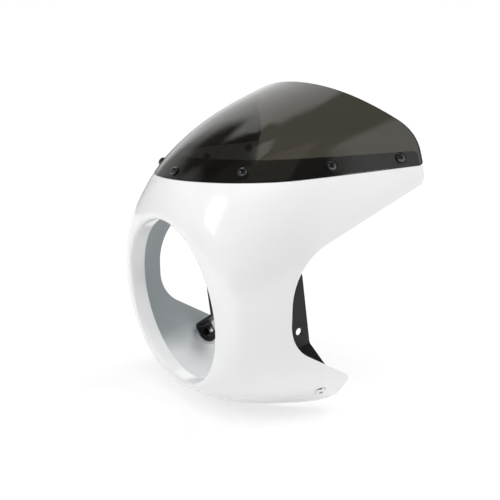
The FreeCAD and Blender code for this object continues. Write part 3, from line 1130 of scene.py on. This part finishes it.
@dataclass
class Studio:
    """Camera, lamps, floor and white background. Lengths in metres, angles in degrees."""

    azimuth: float = 55.835
    elevation: float = 10.998
    distance: float = 0.90984
    target: tuple[float, float, float] = (0.0, 0.09954, 0.04637)
    lens_mm: float = 55.56
    floor_size: float = 12.0
    floor_color: str = "F8F8F8"
    floor_glow: float = 1.05
    floor_glow_share: float = 0.7
    floor_near: float = 0.25
    floor_far: float = 0.7
    ambient: float = 0.25
    ceiling: float = 0.15
    # Name, azimuth, elevation, distance, width, height and power of each lamp.
    softboxes: tuple[Softbox, ...] = (
        Softbox("front_softbox", -2, 36, 1.6, 0.4, 0.5, 2, mirrored=True),
        Softbox("top_softbox", 50, 62, 1.6, 1.2, 0.8, 15),
        Softbox("cross_softbox", -22, 24, 1.8, 1.2, 0.8, 6.6),
        Softbox("rear_softbox", 175, 62, 1.6, 0.9, 0.6, 11.5),
        Softbox("low_rear_softbox", 160, 32, 1.6, 1.0, 0.6, 4.5),
    )
    # Azimuth, half width, bottom, top, softness and light of each card; a later card covers an earlier one.
    cards: tuple[Card, ...] = (
        Card(-70, 30, 34, 66, 6, 0.05),
        Card(-115, 19, 5, 73, 6, 1.15),
        Card(-92, 10, 48, 65, 4, 1.2),
        Card(-82, 16, -20, 30, 5, 0.46),
        Card(-52, 14, -20, 42, 5, 0.46),
        Card(128, 23, -20, 56, 3, 1.1),
        Card(-24, 28, 73, 83, 4, 1.1),
    )

    def bearing(self, azimuth: float, elevation: float) -> Vector:
        """Unit vector from the fairing towards a place round it."""
        a, e = math.radians(azimuth), math.radians(elevation)
        return Vector((math.sin(a) * math.cos(e), -math.cos(a) * math.cos(e), math.sin(e)))

    def aim(self, item: bpy.types.Object, azimuth: float, elevation: float, distance: float) -> None:
        """Put an item round the fairing and turn it to look at the target.

        Args:
            item: Camera or lamp.
            azimuth: Its place round the fairing, from the front towards +X.
            elevation: Its height over the target, as an angle.
            distance: Its distance from the target.
        """
        back = self.bearing(azimuth, elevation)
        item.location = Vector(self.target) + back * distance
        item.rotation_mode = "QUATERNION"
        item.rotation_quaternion = (-back).to_track_quat("-Z", "Y")
        bpy.context.scene.collection.objects.link(item)

    def camera(self) -> None:
        """Stand the camera where the photograph was taken."""
        data = bpy.data.cameras.new("camera")
        data.lens = self.lens_mm
        data.sensor_width = PICTURE_WIDTH_MM
        camera = bpy.data.objects.new("camera", data)
        self.aim(camera, self.azimuth, self.elevation, self.distance)
        bpy.context.scene.camera = camera

    def lamps(self) -> None:
        """Hang the softboxes."""
        for box in self.softboxes:
            data = bpy.data.lights.new(box.name, "AREA")
            data.shape = "RECTANGLE"
            data.size = box.width
            data.size_y = box.height
            data.energy = box.power
            lamp = bpy.data.objects.new(box.name, data)
            lamp.visible_glossy = box.mirrored
            self.aim(lamp, box.azimuth, box.elevation, box.distance)
            LOG.info("lamp %s", box.name)

    def mirrored(self, tree: bpy.types.NodeTree, way: bpy.types.NodeSocket) -> float | bpy.types.NodeSocket:
        """Build what reflections see: a dim ceiling behind the cards.

        Args:
            tree: Node tree of the world.
            way: Direction that is looked at.

        Returns:
            The strength in that direction.
        """
        light: float | bpy.types.NodeSocket = self.ceiling
        for card in self.cards:
            mix = add_node(
                tree, "ShaderNodeMix", {"Factor": card.cover(tree, way), "A": light, "B": card.light}
            )
            light = mix.outputs["Result"]
        return light

    def world(self) -> None:
        """Surround the fairing with white, apart from what reflections see."""
        world = bpy.data.worlds.new("white_studio")
        world.use_nodes = True
        tree = world.node_tree
        tree.nodes.clear()
        way = add_node(tree, "ShaderNodeTexCoord").outputs["Generated"]
        direct = seen_by(tree, (Ray.CAMERA, Ray.TRANSMISSION))
        glossy = seen_by(tree, (Ray.GLOSSY,))
        lit = add_node(
            tree, "ShaderNodeMix", {"Factor": glossy, "A": self.ambient, "B": self.mirrored(tree, way)}
        )
        strength = add_node(tree, "ShaderNodeMix", {"Factor": direct, "A": lit.outputs["Result"], "B": 1.0})
        light = add_node(
            tree, "ShaderNodeBackground", {"Color": linear("FFFFFF"), "Strength": strength.outputs["Result"]}
        )
        add_node(tree, "ShaderNodeOutputWorld", {"Surface": light.outputs["Background"]})
        bpy.context.scene.world = world

    def floor_paint(self, height: float) -> bpy.types.Material:
        """Make the floor's matt white paint, which glows towards the background so that no edge shows.

        Args:
            height: Height of the floor.

        Returns:
            The new material.
        """
        material = bpy.data.materials.new("pale_studio_floor")
        material.use_nodes = True
        tree = material.node_tree
        tree.nodes.clear()
        paint = add_node(tree, "ShaderNodeBsdfDiffuse", {"Color": linear(self.floor_color)})
        place = add_node(tree, "ShaderNodeTexCoord").outputs["Object"]
        away = add_node(tree, "ShaderNodeVectorMath", {0: place, 1: (0, 0, height)}, operation="DISTANCE")
        fade = add_node(
            tree,
            "ShaderNodeMapRange",
            {
                "Value": away.outputs["Value"],
                "From Min": self.floor_near,
                "From Max": self.floor_far,
                "To Min": self.floor_glow_share,
                "To Max": 1.0,
            },
        )
        share = add_node(
            tree,
            "ShaderNodeMath",
            {0: seen_by(tree, tuple(Ray)), 1: fade.outputs["Result"]},
            operation="MULTIPLY",
        )
        light = add_node(tree, "ShaderNodeEmission", {"Strength": self.floor_glow})
        both = add_node(
            tree,
            "ShaderNodeMixShader",
            {0: share.outputs["Value"], 1: paint.outputs["BSDF"], 2: light.outputs["Emission"]},
        )
        add_node(tree, "ShaderNodeOutputMaterial", {"Surface": both.outputs["Shader"]})
        return material

    def floor(self, height: float) -> None:
        """Lay a pale floor that keeps the shadow.

        Args:
            height: Height of the floor, at the lowest point of the fairing.
        """
        half = self.floor_size / 2
        corners = ((-half, -half), (half, -half), (half, half), (-half, half))
        sheet = bmesh.new()
        sheet.faces.new([sheet.verts.new((x, y, height)) for x, y in corners])
        floor = bpy.data.objects.new("studio_floor", to_mesh(sheet, "studio_floor"))
        bpy.context.scene.collection.objects.link(floor)
        floor.data.materials.append(self.floor_paint(height))
        floor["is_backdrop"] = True

    def build(self, lowest: float) -> None:
        """Set up the whole studio.

        Args:
            lowest: Height of the lowest point of the fairing.
        """
        self.camera()
        self.lamps()
        self.world()
        self.floor(lowest)
        bpy.context.scene.view_settings.view_transform = "Standard"


def main() -> None:
    """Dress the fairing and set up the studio."""
    logging.basicConfig(level=logging.INFO, format="%(message)s")
    cad_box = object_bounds()
    enamel = BLACK_ENAMEL.build()
    Shell().dress(GlossLacquer().build(), ShadedMoulding().build())
    Screen().dress(SmokedAcrylic().build(), SAWN_EDGE.build())
    steel = POWDER_COAT.build()
    Bracket("bracket_left").dress(steel)
    Bracket("bracket_right").dress(steel)
    ScreenScrews(pin_places("screen_screws")).build(enamel, BLACK_NYLON.build())
    BracketBolts(pin_places("bracket_bolts")).build(BRIGHT_ZINC.build(), enamel)
    Studio().build(cad_box[0].z)


if __name__ == "__main__":
    main()
